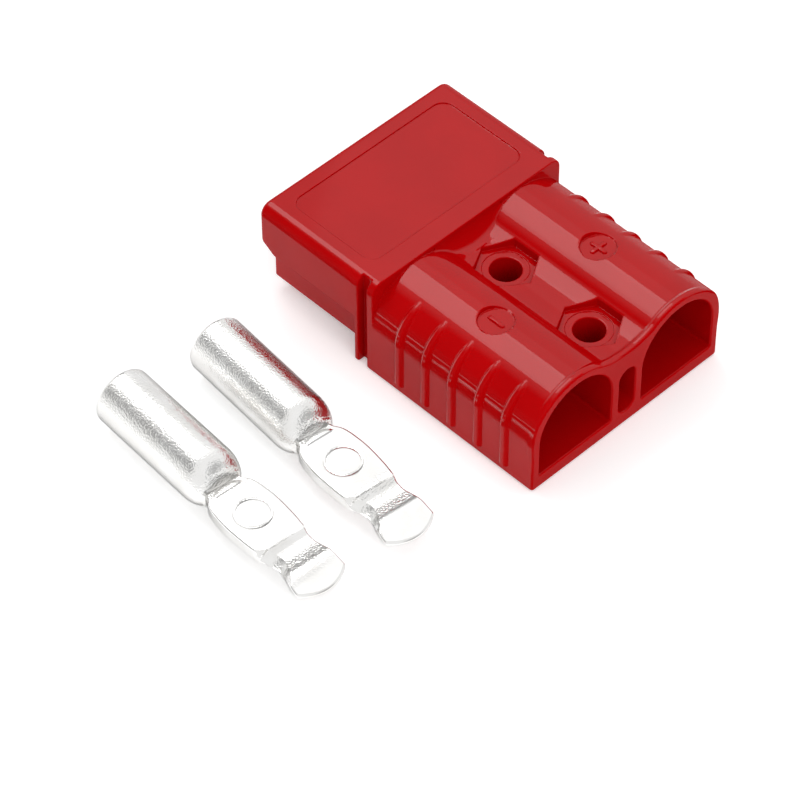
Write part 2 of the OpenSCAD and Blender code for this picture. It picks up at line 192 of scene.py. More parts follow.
def areaLamp(name, place, aim, size, power, inReflections):
    # a rectangle of light turned to face its aim
    lamp = bpy.data.lights.new(name, "AREA")
    lamp.shape = "RECTANGLE"
    lamp.size, lamp.size_y = size
    lamp.energy = power
    piece = bpy.data.objects.new(name, lamp)
    piece.location = place
    piece.rotation_euler = (Vector(aim) - Vector(place)).to_track_quat("-Z", "Y").to_euler()
    piece.visible_glossy = inReflections
    bpy.context.collection.objects.link(piece)


litFloor(studio)
greyRoom(studio)
for name, values in lamps.items():
    areaLamp(name, *values)
bpy.context.scene.view_settings.view_transform = "Standard"
print("studio lit")


# Housing: one moulding, worked out as a distance field with every edge rounded as a mould leaves it

housing = dict(                       # mm
    halfWidth=28.0, top=25.6, front=-57.9, joint=-23.5, rear=23.5,
    hoodEdge=13.05, hoodRound=2.8, frontRound=1.2, slantLength=4.0, slantHeight=2.5,
    flange=-29.1, groove=-28.0, plate=-25.4, grooveFloor=26.1,
    pole=15.2, archRadius=14.6, archCentre=10.3, breakRound=1.7, footRound=0.8,
    rimRadius=12.8, rimCentre=12.6, rimLength=1.8, rimRound=0.7, saddle=21.5, saddleEase=1.07,
    valley=21.0, valleyRadius=22.0, valleyHalf=9.9, rampRadius=4.0,
    ribPitch=7.7, ribsEachWay=2, ribRadius=1.3, ribProud=0.9, ribFoot=2.0, ribBend=8.0, ribReach=0.55,
    tongueFront=-56.9, tongueHalf=24.95, tongueFloor=3.05, rail=11.2,
    mouthHalf=25.2, ceiling=22.8, dividerHalf=1.2, dividerFront=-54.9, gapHalf=1.45, middle=12.8,
    laneHalf=7.1, deck=9.6, windowTop=14.7, bulkhead=-22.1,
    seatHalf=5.8, seatFloor=7.75, seatSpan=(-52.7, -27.1),
    tunnelRadius=10.6, tunnelFloor=3.65, slotHalf=2.4, slotSpan=(6.05, 13.85), slotDepth=17.9,
    holePlace=12.15, holeRadius=3.5, nutFlats=12.3, nutFloor=19.8, spotRadius=5.1, spotFloor=19.6,
    discRadius=3.95, discFloor=24.0,
    labelSpan=(-53.7, -28.9), labelHalf=22.75, labelRound=3.0, labelFloor=25.3,
    overlap=1.0,                      # how far one form runs on into the next
    # fillets, and rounds at the edges and ends of each form
    lipRound=0.45, slantRound=0.6, hoodEnd=0.5, collarRound=0.35, tongueRound=0.6, tongueFillet=0.3,
    valleyFillet=0.25, rimFillet=0.5, rampFillet=0.5, ribFillet=0.12, grooveRound=0.3,
    mouthCorner=0.6, mouthEnd=0.4, mouthRound=0.4, dividerRound=0.3, gapRound=0.3, seatRound=0.25,
    tunnelCorner=0.6, tunnelRound=0.5, slotEnd=0.3, slotRound=0.4, nutEnd=0.15, nutRound=0.3,
    spotRound=0.1, holeRound=0.3, discEnd=0.15, discRound=0.25, labelEnd=0.1, labelEdge=0.12,
)


def joined(a, b, r):
    # union of two distances with a hollow fillet of radius r
    return np.maximum(r, np.minimum(a, b)) - np.hypot(np.maximum(r - a, 0), np.maximum(r - b, 0))


def trimmed(a, b, r):
    # the part of a inside b, its edge rounded to radius r
    return np.minimum(-r, np.maximum(a, b)) + np.hypot(np.maximum(r + a, 0), np.maximum(r + b, 0))


def carved(a, b, r):
    # a with b cut out of it, the edge rounded to radius r
    return trimmed(a, -b, r)


def between(u, low, high):
    # distance to a slab, negative inside it
    return np.maximum(low - u, u - high)


def block(u, v, uSpan, vSpan, r):
    # distance to a rectangle with corners of radius r
    a, b = between(u, *uSpan) + r, between(v, *vSpan) + r
    return np.hypot(np.maximum(a, 0), np.maximum(b, 0)) + np.minimum(np.maximum(a, b), 0) - r


def hoodField(h, x, y, z):
    # a rounded box cut off at the lip, the front, the slant and the joint, and the collar behind it
    outline = block(y, z, (-h["halfWidth"], h["halfWidth"]), (-h["top"], h["top"]), h["hoodRound"])
    hood = trimmed(outline, h["hoodEdge"] - z, h["lipRound"])
    hood = trimmed(hood, h["front"] - x, h["frontRound"])
    run = math.hypot(h["slantLength"], h["slantHeight"])
    slant = (h["hoodEdge"] + h["slantHeight"] - z) * h["slantLength"] - (x - h["front"]) * h["slantHeight"]
    hood = trimmed(hood, slant / run, h["slantRound"])
    hood = trimmed(hood, x - h["joint"], h["hoodEnd"])
    collar = trimmed(outline, -z, h["footRound"])
    collar = trimmed(collar, between(x, h["flange"], h["joint"]), h["collarRound"])
    return np.minimum(hood, collar)


def ribField(h, x, side, z):
    # an upright rod on a round foot, carried on by a ring that bends in over the arch and sinks into it
    r, bend = h["ribRadius"], h["ribBend"]
    root = h["halfWidth"] + h["ribProud"] - r
    tip = math.acos(h["ribReach"] * h["rimRadius"] / h["archRadius"])
    across = (h["archRadius"] - r) * math.cos(tip) + h["pole"] - root + bend
    bendStart = (h["archRadius"] - r) * math.sin(tip) + h["archCentre"] - math.sqrt(bend ** 2 - across ** 2)
    along = x - h["ribPitch"] * np.clip(np.round(x / h["ribPitch"]), -h["ribsEachWay"], h["ribsEachWay"])
    upright = np.hypot(side - root, np.minimum(z - h["ribFoot"] - r, 0))
    arc = np.hypot(side - root + bend, z - bendStart) - bend
    return np.maximum(np.hypot(along, np.where(z > bendStart, arc, upright)) - r, h["pole"] - side)


def cableField(h, x, y, z):
    # two arches and the valley between them, the rim with its saddle, the ramp up to the hood, and the ribs
    side = np.abs(y)
    arch = np.hypot(side - h["pole"], z - h["archCentre"]) - h["archRadius"]
    floor = h["valleyRadius"] - np.hypot(y, z - h["valley"] - h["valleyRadius"])
    section = joined(arch, np.maximum(floor, side - h["valleyHalf"]), h["valleyFillet"])
    section = trimmed(np.minimum(section, z - h["archCentre"]), side - h["halfWidth"], h["breakRound"])
    rise = h["saddle"] - h["rimCentre"]
    reach = (h["pole"] ** 2 + rise ** 2 - h["rimRadius"] ** 2) / (2 * (h["rimRadius"] - rise))
    saddleRadius = h["saddleEase"] * reach
    saddleHalf = h["pole"] * (1 - h["rimRadius"] / math.hypot(h["pole"], rise + saddleRadius))
    rim = np.hypot(side - h["pole"], z - h["rimCentre"]) - h["rimRadius"]
    saddle = saddleRadius - np.hypot(y, z - h["saddle"] - saddleRadius)
    rim = np.minimum(rim, np.maximum(saddle, side - saddleHalf))
    rim = trimmed(rim, h["rear"] - h["rimLength"] - x, h["rimRound"])
    body = joined(section, rim, h["rimFillet"])
    corner = h["joint"] + h["rampRadius"], h["valley"] + h["rampRadius"]
    ramp = h["rampRadius"] - np.hypot(x - corner[0], z - corner[1])
    ramp = np.maximum(np.maximum(ramp, x - corner[0]), np.maximum(z - corner[1], side - h["valleyHalf"]))
    body = joined(body, ramp, h["rampFillet"])
    body = trimmed(body, -z, h["footRound"])
    body = trimmed(body, x - h["rear"], h["rimRound"])
    body = np.maximum(body, h["joint"] - h["overlap"] - x)
    return joined(body, ribField(h, x, side, z), h["ribFillet"])


def hollowField(h, body, x, y, z):
    # every cut: groove, mouth, contact ways, cable tunnels, slot, bolt holes, discs and the hood's field
    side = np.abs(y)
    lane = np.abs(side - h["pole"])
    more = h["overlap"]
    groove = np.maximum(between(x, h["groove"], h["plate"]), h["grooveFloor"] - side)
    body = carved(body, groove, h["grooveRound"])
    mouth = block(y, z, (-h["mouthHalf"], h["mouthHalf"]), (h["rail"], h["ceiling"]), h["mouthCorner"])
    mouth = trimmed(mouth, x - h["flange"], h["mouthEnd"])
    divider = np.maximum(np.maximum(side - h["dividerHalf"], h["dividerFront"] - x), h["hoodEdge"] - z)
    body = carved(body, carved(mouth, divider, h["dividerRound"]), h["mouthRound"])
    gap = np.maximum(np.maximum(side - h["gapHalf"], x - h["flange"]), z - h["middle"])
    body = carved(body, gap, h["gapRound"])
    way = between(x, h["front"] - 2 * more, h["flange"] + more)
    way = np.maximum(way, between(z, h["deck"], h["middle"]))
    window = between(x, h["flange"] - more, h["bulkhead"] + more)
    window = np.maximum(window, between(z, h["deck"], h["windowTop"]))
    seat = np.maximum(between(x, *h["seatSpan"]), between(z, h["seatFloor"], h["windowTop"]))
    ways = np.maximum(np.minimum(way, window), lane - h["laneHalf"])
    body = carved(body, np.minimum(ways, np.maximum(seat, lane - h["seatHalf"])), h["seatRound"])
    below = np.maximum(lane, z - h["rimCentre"] + h["tunnelRadius"])
    tunnel = np.minimum(np.hypot(lane, z - h["rimCentre"]), below) - h["tunnelRadius"]
    tunnel = trimmed(tunnel, h["tunnelFloor"] - z, h["tunnelCorner"])
    body = carved(body, trimmed(tunnel, h["bulkhead"] - x, h["tunnelCorner"]), h["tunnelRound"])
    slot = np.hypot(y, z - np.clip(z, *h["slotSpan"])) - h["slotHalf"]
    body = carved(body, trimmed(slot, h["slotDepth"] - x, h["slotEnd"]), h["slotRound"])
    along = np.abs(np.abs(x) - h["holePlace"])
    nut = np.maximum(side, along * math.cos(math.pi / 6) + side / 2) - h["nutFlats"] / 2
    body = carved(body, trimmed(nut, h["nutFloor"] - z, h["nutEnd"]), h["nutRound"])
    bore = np.hypot(along, y)
    spot = trimmed(bore - h["spotRadius"], h["spotFloor"] - z, h["spotRound"])
    body = carved(body, spot, h["spotRound"])
    body = carved(body, bore - h["holeRadius"], h["holeRound"])
    disc = np.hypot(x, lane) - h["discRadius"]
    body = carved(body, trimmed(disc, h["discFloor"] - z, h["discEnd"]), h["discRound"])
    label = block(x, y, h["labelSpan"], (-h["labelHalf"], h["labelHalf"]), h["labelRound"])
    return carved(body, trimmed(label, h["labelFloor"] - z, h["labelEnd"]), h["labelEdge"])


def housingField(x, y, z):
    # hood, cable half and tongue joined, then cut
    h = housing
    tongue = block(y, z, (-h["tongueHalf"], h["tongueHalf"]), (h["tongueFloor"], h["rail"]), h["tongueRound"])
    tongue = trimmed(tongue, between(x, h["tongueFront"], h["flange"] + h["overlap"]), h["tongueRound"])
    body = np.minimum(hoodField(h, x, y, z), cableField(h, x, y, z))
    return hollowField(h, joined(body, tongue, h["tongueFillet"]), x, y, z)


def gridLines(spans):
    # grid lines through consecutive spans, each with its own step
    return np.concatenate([np.arange(a, b - step / 2, step) for a, b, step in spans] + [[spans[-1][1]]])


def surfaceNet(field, axes):
    # one point in each grid cell that the surface crosses, one quad round each grid edge that it crosses
    f = field(axes[0][:, None, None], axes[1][None, :, None], axes[2][None, None, :])
    inside = f < 0
    n = tuple(s - 1 for s in f.shape)
    corners = [(i, j, k) for i in (0, 1) for j in (0, 1) for k in (0, 1)]
    count = sum(inside[i:n[0] + i, j:n[1] + j, k:n[2] + k].astype(np.int8) for i, j, k in corners)
    cells = np.argwhere((count > 0) & (count < 8))
    index = np.full(n, -1)
    index[tuple(cells.T)] = np.arange(len(cells))
    unit = np.eye(3, dtype=int)
    total, hits, quads = np.zeros((len(cells), 3)), np.zeros(len(cells)), []
    for axis in range(3):
        u, v = (axis + 1) % 3, (axis + 2) % 3
        for start in (0 * unit[u], unit[u], unit[v], unit[u] + unit[v]):
            fa, fb = f[tuple((cells + start).T)], f[tuple((cells + start + unit[axis]).T)]
            cross = (fa < 0) != (fb < 0)
            t = np.where(cross, fa / np.where(cross, fa - fb, 1), 0)
            total += np.where(cross[:, None], start + t[:, None] * unit[axis], 0)
            hits += cross
        first = np.take(inside, range(n[axis]), axis)
        second = np.take(inside, range(1, n[axis] + 1), axis)
        at = np.argwhere(first != second)
        around = (unit[u] + unit[v], unit[v], 0 * unit[u], unit[u])
        ring = np.stack([index[tuple((at - s).T)] for s in around], 1)
        quads.append(np.where(first[tuple(at.T)][:, None], ring, ring[:, ::-1]))
    share = total / hits[:, None]
    low = np.stack([line[i] for line, i in zip(axes, cells.T)], 1)
    size = np.stack([np.diff(line)[i] for line, i in zip(axes, cells.T)], 1)
    return low + share * size, np.concatenate(quads)


def slopeOf(field, points, here, small=1e-4):
    # how fast the field grows along x, y and z, by a small step each way
    return np.stack([(field(*(points + s).T) - here) / small for s in np.eye(3) * small], 1)


def settled(field, points, rounds=3, reach=0.2, leastSteep=0.2):
    # each point slides down the field's slope until it lies on the surface
    for _ in range(rounds):
        here = field(*points.T)
        slope = slopeOf(field, points, here)
        move = here[:, None] * slope / np.maximum((slope ** 2).sum(1), leastSteep)[:, None]
        points = points - np.clip(move, -reach, reach)
    return points


def directionsOf(field, points):
    # the field's slope at unit length, which is the surface's outward direction
    slope = slopeOf(field, points, field(*points.T))
    return slope / np.linalg.norm(slope, axis=1)[:, None]


def fieldMesh(name, field, axes, sameWay=1e-3, sameLine=1e-5):
    # quads that face one way, and those of one straight strip along x, are merged;
    # every corner then takes the field's own direction
    points, quads = surfaceNet(field, axes)
    points = settled(field, points)
    facing = directionsOf(field, points)
    same = np.abs(facing[quads] - facing[quads[:, :1]]).max((1, 2)) < sameWay
    along = np.abs(points[quads] - points[np.roll(quads, -1, 1)])[:, :, 1:].max(2) < sameLine
    alike = np.abs(facing[quads] - facing[np.roll(quads, -1, 1)]).max(2) < sameWay
    straight = ((along & alike).sum(1) == 2).tolist()
    flat = same.tolist()
    mesh = bpy.data.meshes.new(name)
    mesh.from_pydata(points, [], quads)
    work = bmesh.new()
    work.from_mesh(mesh)
    inner = []
    for edge in work.edges:
        a, b = (f.index for f in edge.link_faces)
        across = abs(edge.verts[0].co.x - edge.verts[1].co.x) < sameLine
        if (flat[a] and flat[b]) or (across and straight[a] and straight[b]):
            inner.append(edge)
    bmesh.ops.dissolve_edges(work, edges=inner, use_verts=True, use_face_split=False)
    work.to_mesh(mesh)
    work.free()
    places = np.empty(len(mesh.vertices) * 3)
    mesh.vertices.foreach_get("co", places)
    places = places.reshape(-1, 3)
    mesh.vertices.foreach_set("co", (places * millimetre).ravel())
    mesh.shade_smooth()
    mesh.normals_split_custom_set_from_vertices(directionsOf(field, places))
    mesh.update()
    return mesh


def addPiece(name, mesh, slotName, *nodes):
    # rides the part's only body, and takes the place of the named nodes
    piece = bpy.data.objects.new(name, mesh)
    bpy.context.collection.objects.link(piece)
    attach(piece, "root")
    if nodes:
        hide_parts(*nodes)


housingGrid = dict(                   # mm: start, end and step of each span of grid lines
    x=((-58.7, -52.5, 0.3), (-52.5, -30.3, 0.6), (-30.3, 24.3, 0.3)),
    y=((-29.55, 29.55, 0.3),),
    z=((-0.75, 19.35, 0.3), (19.35, 20.1, 0.1), (20.1, 25.05, 0.3), (25.05, 25.85, 0.1),
       (25.85, 26.5, 0.3)),
)
housingMesh = fieldMesh("housingSkin", housingField, [gridLines(housingGrid[axis]) for axis in "xyz"])
housingMesh.calc_loop_triangles()
addPiece("housingSkin", housingMesh, "housing", "housing")
print("housing moulded:", len(housingMesh.polygons), "faces,", len(housingMesh.loop_triangles), "triangles")


# Contacts: a section carried along the contact, from the bore's bottom out over the lip and down to the tip

contact = dict(                       # mm; s runs from the open end, z up from the floor
    barrelRadius=6.8, boreRadius=5.4, boreDepth=26.0, boreBevel=0.8,
    mouthBevel=0.4, lipRadius=6.6, lipLength=0.45, barrelRings=(0.6, 10.0, 20.0, 27.0),
    shoulderStart=28.0, shoulderEnd=33.4, shoulderTurn=80, neckHalf=4.5,   # the turn in degrees
    # share of the turn where the section starts to square up, and how far its edges follow
    squareFrom=0.72, squareEase=0.9,
    palmFrom=33.65, palmTop=7.7, palmBottom=4.5, stepPlace=52.6, stepLength=0.25, stepFoot=7.2,
    tipFrom=62, endFrom=64.5, tipLength=67.5, endRadius=9.0, tipTop=5.9, tipBottom=4.7,
    # height of the top after the step: dip, ridge and the fall to the tip
    dip=((54.3, 6.4), (56.2, 6.2), (58.7, 6.52), (60.4, 6.83), (61.6, 6.72), (64, 6.25)),
    # half widths: palm, then the waist and tip on the outer and on the inner side
    palmHalf=((33.4, 4.55), (34.4, 4.8), (35.4, 5.35), (36.4, 5.85), (39, 6.4), (43.1, 6.7), (48, 6.5),
              (52.6, 5.95)),
    outerHalf=((53.8, 5.3), (55.5, 4.6), (57, 4.5), (59, 4.85), (61, 5.5), (63, 6.05), (64.4, 6.22),
               (68, 6.22)),
    innerHalf=((54, 5.75), (55.5, 5.75), (57.5, 6.05), (59.5, 6.35), (61.5, 6.5), (68, 6.55)),
    # rounds of the edges, and how far they are turned to face the end
    edgeWidth=((33.4, 0.9), (36, 0.6), (52.4, 0.55), (56, 0.45), (64, 0.45), (66, 0.6), (68, 0.6)),
    edgeDepth=((33.4, 1.2), (36, 0.5), (52.4, 0.5), (56, 0.4), (64, 0.45), (66, 0.6), (68, 0.6)),
    endLean=((33.4, 0), (63.6, 0), (66.2, 0.85), (68, 1)),
    # scoop in the waist's outer side: its edge's place from the middle, its depth, and its share of cove
    scoopEdge=((33.4, 7), (51, 6.2), (52.8, 3.9), (54.3, 2.75), (56.2, 2.35), (58, 2.75), (59.6, 3.6),
               (61.2, 4.6), (63, 5.7), (68, 7)),
    scoopDepth=((33.4, 1.2), (36, 0.5), (51, 0.5), (53, 1.5), (58, 1.4), (61, 0.8), (63, 0.45), (66, 0.6),
                (68, 0.6)),
    scoopHollow=((33.4, 0), (51, 0), (52.8, 0.6), (60.5, 0.6), (63, 0), (68, 0)),
    # sunk ring on the palm, and the raised lens at its neck
    ringPlace=43.4, ringRadius=3.9, ringWidth=0.24, ringDepth=0.16,
    lensEnd=35.6, lensHalf=3.7, lensReach=1.75, lensHeight=0.3,
    # stations along, columns across, and the angle in degrees above which an edge is sharp
    spacing=0.2, shoulderSteps=40, stepSteps=6, endSteps=30,
    acrossTop=57, acrossSide=5, acrossCorner=10, acrossBottom=15, sharpAngle=32,
)
contactPlaces = dict(                 # open end's x and y in mm, turn in degrees
    contactNear=(-48.3, -50.1, -5.4),
    contactFar=(-51.1, -74.0, -3.9),
)


def easedCurve(pairs, s):
    # a smooth line through the pairs: cubic pieces, each slope the harmonic mean of its two chords'
    at, value = np.array(pairs).T
    chord = np.diff(value) / np.diff(at)
    rising = chord[:-1] * chord[1:] > 0
    slope = np.where(rising, 2 * chord[:-1] * chord[1:] / np.where(rising, chord[:-1] + chord[1:], 1), 0)
    slope = np.concatenate([chord[:1], slope, chord[-1:]])
    i = np.clip(np.searchsorted(at, s) - 1, 0, len(at) - 2)
    gap = at[i + 1] - at[i]
    t = np.clip((s - at[i]) / gap, 0, 1)
    start = value[i] * (1 + 2 * t) * (1 - t) ** 2 + slope[i] * gap * t * (1 - t) ** 2
    return start + value[i + 1] * t ** 2 * (3 - 2 * t) - slope[i + 1] * gap * t ** 2 * (1 - t)


def contactStations(c):
    # columns: s, half width, shift to the inner side, top, bottom, squareness (0 round, 1 slab), edge width
    # and depth, the scoop's width, depth and hollow, and how far the edge draws back from the end
    r, b, bevel, deep = c["barrelRadius"], c["boreRadius"], c["boreBevel"], c["boreDepth"]
    rings = [(deep, 0.0), (deep, b - bevel), (deep - bevel, b), (deep / 2, b), (c["mouthBevel"], b),
             (0.0, b + c["mouthBevel"]), (0.0, c["lipRadius"]), (c["lipLength"], r)]
    rings += [(s, r) for s in c["barrelRings"]]
    tube = np.array([(s, q, 0, r + q, r - q, 0, q, q, q, q, 0, 0) for s, q in rings])
    turn = np.linspace(0, math.radians(c["shoulderTurn"]), c["shoulderSteps"])
    fall = np.cos(turn)
    s = c["shoulderStart"] + (c["shoulderEnd"] - c["shoulderStart"]) * np.sin(turn)
    half = c["neckHalf"] + (r - c["neckHalf"]) * fall
    top = c["palmTop"] + (2 * r - c["palmTop"]) * fall
    bottom = c["palmBottom"] * (1 - fall)
    square = np.clip((turn / turn[-1] - c["squareFrom"]) / (1 - c["squareFrom"]), 0, 1) ** 2
    edge, ease, none = np.minimum(half, (top - bottom) / 2), square * c["squareEase"], np.zeros_like(s)
    width, depth = (edge * (1 - ease) + c[way][0][1] * ease for way in ("edgeWidth", "edgeDepth"))
    shoulder = np.stack([s, half, none, top, bottom, square, width, depth, width, depth, none, none], 1)
    step, stepEnd = c["spacing"], c["stepPlace"] + c["stepLength"]
    endMiddle = c["tipLength"] - c["endRadius"]
    endTurn = np.linspace(math.asin((c["endFrom"] - endMiddle) / c["endRadius"]), math.pi / 2, c["endSteps"])
    s = np.concatenate([np.arange(c["palmFrom"], c["stepPlace"], step),
                        c["stepPlace"] + c["stepLength"] * np.linspace(0, 1, c["stepSteps"]),
                        np.arange(stepEnd + step, c["endFrom"] - step / 2, step),
                        endMiddle + c["endRadius"] * np.sin(endTurn)])
    arc = np.sqrt(np.maximum(c["endRadius"] ** 2 - np.maximum(s - endMiddle, 0) ** 2, 0))
    outer, inner = (np.minimum(easedCurve(c["palmHalf"] + c[way], s), arc)
                    for way in ("outerHalf", "innerHalf"))
    half, shift = (inner + outer) / 2, (inner - outer) / 2
    profile = ((stepEnd, c["stepFoot"]), *c["dip"], (c["tipLength"], c["tipTop"]))
    drop = np.interp(s, (c["stepPlace"], stepEnd), (c["palmTop"], c["stepFoot"]))
    top = np.where(s < stepEnd, drop, easedCurve(profile, s))
    bottom = np.interp(s, (c["stepPlace"], c["tipFrom"]), (c["palmBottom"], c["tipBottom"]))
    edgeWidth = easedCurve(c["edgeWidth"], s)
    width = np.minimum(edgeWidth, half)
    depth = np.minimum(easedCurve(c["edgeDepth"], s), (top - bottom) / 2)
    scoopWidth = np.maximum(width, outer - easedCurve(c["scoopEdge"], s))
    scoopDepth = np.minimum(easedCurve(c["scoopDepth"], s), top - bottom - depth)
    hollow, back = easedCurve(c["scoopHollow"], s), easedCurve(c["endLean"], s) * edgeWidth
    slab = np.stack([s, half, shift, top, bottom, np.ones_like(s), width, depth,
                     scoopWidth, scoopDepth, hollow, back], 1)
    return np.concatenate([tube, shoulder, slab])


def sectionColumns(c):
    # columns round the section: place along each straight, corner angle, and angle on the round section
    n, m, k = c["acrossTop"], c["acrossCorner"], c["acrossSide"]
    # each line: its count, then start and end of u, of v and of the corner's angle in degrees
    lines = [(n, 1, -1, 1, 1, 90, 90), (m, -1, -1, 1, 1, 90, 180),
             (k, -1, -1, 1, -1, 180, 180), (m, -1, -1, -1, -1, 180, 270),
             (c["acrossBottom"], -1, 1, -1, -1, 270, 270), (m, 1, 1, -1, -1, 270, 360),
             (k, 1, 1, -1, 1, 360, 360), (m, 1, 1, 1, 1, 360, 450)]
    parts = [np.stack([np.linspace(a, b, count + 1)[:-1] for a, b in ((u0, u1), (v0, v1), (a0, a1))], 1)
             for count, u0, u1, v0, v1, a0, a1 in lines]
    quarter = [n, 2 * m + k, c["acrossBottom"], 2 * m + k]
    around = np.concatenate([45 + 90 * i + 90 * np.arange(q) / q for i, q in enumerate(quarter)])
    u, v, corner = np.concatenate(parts).T
    return u, v, np.radians(corner), np.radians(around)


def contactSurface(c):
    # each station's section is a blend of an ellipse and a slab with rounded corners; the upper outer corner
    # turns from a round into a cove where the waist is scooped
    (s, half, shift, top, bottom, square, edgeWidth, edgeDepth,
     scoopWidth, scoopDepth, hollow, back) = contactStations(c).T[:, :, None]
    u, v, corner, around = (q[None, :] for q in sectionColumns(c))
    tall, middle = (top - bottom) / 2, (top + bottom) / 2
    scooped = (u == -1) & (v == 1)
    cosine, sine = np.cos(corner), np.sin(corner)
    hollow = np.where(scooped, hollow, 0)
    cosine, sine = (cosine * (1 - hollow) - (1 - sine) * hollow,
                    sine * (1 - hollow) + (1 + cosine) * hollow)
    outerWidth = np.where(v == 1, scoopWidth, edgeWidth)
    slabT = ((1 + u) * (half - edgeWidth) - (1 - u) * (half - outerWidth)) / 2
    slabT = slabT + np.where(scooped, scoopWidth, edgeWidth) * cosine
    upperDepth = np.where(u == -1, scoopDepth, edgeDepth)
    slabZ = ((1 + v) * (tall - upperDepth) - (1 - v) * (tall - edgeDepth)) / 2
    slabZ = slabZ + np.where(scooped, scoopDepth, edgeDepth) * sine
    t = shift + square * slabT + (1 - square) * half * np.cos(around)
    z = middle + square * slabZ + (1 - square) * tall * np.sin(around)
    s = s - back * (1 - np.abs(np.cos(corner))) + 0 * t
    upper = (square == 1) & (corner == math.pi / 2)
    ring = np.exp(-((np.hypot(s - c["ringPlace"], t) - c["ringRadius"]) / c["ringWidth"]) ** 2)
    lens = np.clip(1 - (t / c["lensHalf"]) ** 2 - ((s - c["lensEnd"]) / c["lensReach"]) ** 2, 0, 1)
    lens = np.where(s < c["lensEnd"], 1 - (1 - lens) ** 3, 0)
    z = z + np.where(upper, c["lensHeight"] * lens - c["ringDepth"] * ring, 0)
    return np.stack([s, t, z], 2)


def gridMesh(name, points, sharpAngle, weld=2e-6, sliver=1e-7):
    # a grid closed round its second direction; rows that meet in one point or line are welded
    rows, columns = points.shape[:2]
    i, j = np.meshgrid(np.arange(rows - 1), np.arange(columns), indexing="ij")
    after = (j + 1) % columns
    here, beyond = i * columns, (i + 1) * columns
    quads = np.stack([here + j, here + after, beyond + after, beyond + j], 2)
    mesh = bpy.data.meshes.new(name)
    mesh.from_pydata(points.reshape(-1, 3) * millimetre, [], quads.reshape(-1, 4))
    work = bmesh.new()
    work.from_mesh(mesh)
    bmesh.ops.remove_doubles(work, verts=work.verts, dist=weld)
    bmesh.ops.dissolve_degenerate(work, edges=work.edges, dist=sliver)
    bmesh.ops.recalc_face_normals(work, faces=work.faces)
    work.to_mesh(mesh)
    work.free()
    mesh.shade_smooth()
    mesh.set_sharp_from_angle(angle=math.radians(sharpAngle))
    return mesh


def placed(points, x, y, turn):
    # turned about the upright axis, then moved
    a = math.radians(turn)
    s, t, z = np.moveaxis(points, 2, 0)
    return np.stack([x + s * math.cos(a) - t * math.sin(a), y + s * math.sin(a) + t * math.cos(a), z], 2)


contactShape = contactSurface(contact)
for name, node in (("contactNear", "contact_near"), ("contactFar", "contact_far")):
    contactMesh = gridMesh(name, placed(contactShape, *contactPlaces[name]), contact["sharpAngle"])
    addPiece(name, contactMesh, "contact", node)
    print(name, "drawn:", len(contactMesh.polygons), "faces")


# Pole signs: raised bars in the sunk discs, minus on the camera's side and plus on the far side

poleSigns = dict(                     # mm
    halfLength=2.35, halfWidth=0.55, height=0.45, sink=0.2, points=144, rings=14, sharpAngle=40,
)


def signSurface(values, arms, y, floor):
    # polar outline of bars with round ends, scaled from the middle, crowned by a fourth power
    angle = np.linspace(0, 2 * math.pi, values["points"], endpoint=False)
    spine, r = values["halfLength"] - values["halfWidth"], values["halfWidth"]
    outline = np.zeros_like(angle)
    for arm in range(arms):
        c, s = np.abs(np.cos(angle - arm * math.pi / 2)), np.abs(np.sin(angle - arm * math.pi / 2))
        end = spine * c + np.sqrt(np.maximum(r ** 2 - (spine * s) ** 2, 0))
        outline = np.maximum(outline, np.where(c * r > s * spine, end, r / np.maximum(s, 1e-6)))
    grow = np.concatenate([np.linspace(0, 1, values["rings"]), (1.0, 0.0)])
    rise = values["height"] * np.sqrt(1 - grow ** 4)
    rise[-2:] = -values["sink"]
    radius = grow[:, None] * outline[None, :]
    level = floor + np.broadcast_to(rise[:, None], radius.shape)
    return np.stack([radius * np.cos(angle), y + radius * np.sin(angle), level], 2)


for signName, arms, y in (("minusSign", 1, -housing["pole"]), ("plusSign", 2, housing["pole"])):
    signShape = signSurface(poleSigns, arms, y, housing["discFloor"])
    addPiece(signName, gridMesh(signName, signShape, poleSigns["sharpAngle"]), "housing")
print("pole signs set")


# Shared shader groups

def startGroup(name, inputs, outputs):
    # an empty node group with its sockets
    group = bpy.data.node_groups.new(name, "ShaderNodeTree")
    for label, kind, value in inputs:
        group.interface.new_socket(name=label, in_out="INPUT", socket_type=kind).default_value = value
    for label, kind in outputs:
        group.interface.new_socket(name=label, in_out="OUTPUT", socket_type=kind)
    nodes, links = nodesOf(group)
    return group, nodes, links, nodes.new("NodeGroupInput"), nodes.new("NodeGroupOutput")


def fineGrain(fineDetail=1, broadDetail=2):
    # two sizes of noise blended to a height, for the tooth of moulded or plated surfaces
    group, nodes, links, given, out = startGroup(
        "fineGrain",
        [("Fine Scale", "NodeSocketFloat", 3000.0), ("Broad Scale", "NodeSocketFloat", 200.0),
         ("Broad Share", "NodeSocketFloat", 0.5)],
        [("Height", "NodeSocketFloat")])
    place = nodes.new("ShaderNodeTexCoord")
    fine, broad = nodes.new("ShaderNodeTexNoise"), nodes.new("ShaderNodeTexNoise")
    for noise, label, detail in ((fine, "Fine Scale", fineDetail), (broad, "Broad Scale", broadDetail)):
        noise.inputs["Detail"].default_value = detail
        links.new(place.outputs["Object"], noise.inputs["Vector"])
        links.new(given.outputs[label], noise.inputs["Scale"])
    blend = nodes.new("ShaderNodeMix")
    links.new(given.outputs["Broad Share"], blend.inputs["Factor"])
    links.new(fine.outputs["Fac"], blend.inputs["A"])
    links.new(broad.outputs["Fac"], blend.inputs["B"])
    links.new(blend.outputs["Result"], out.inputs["Height"])
    return group


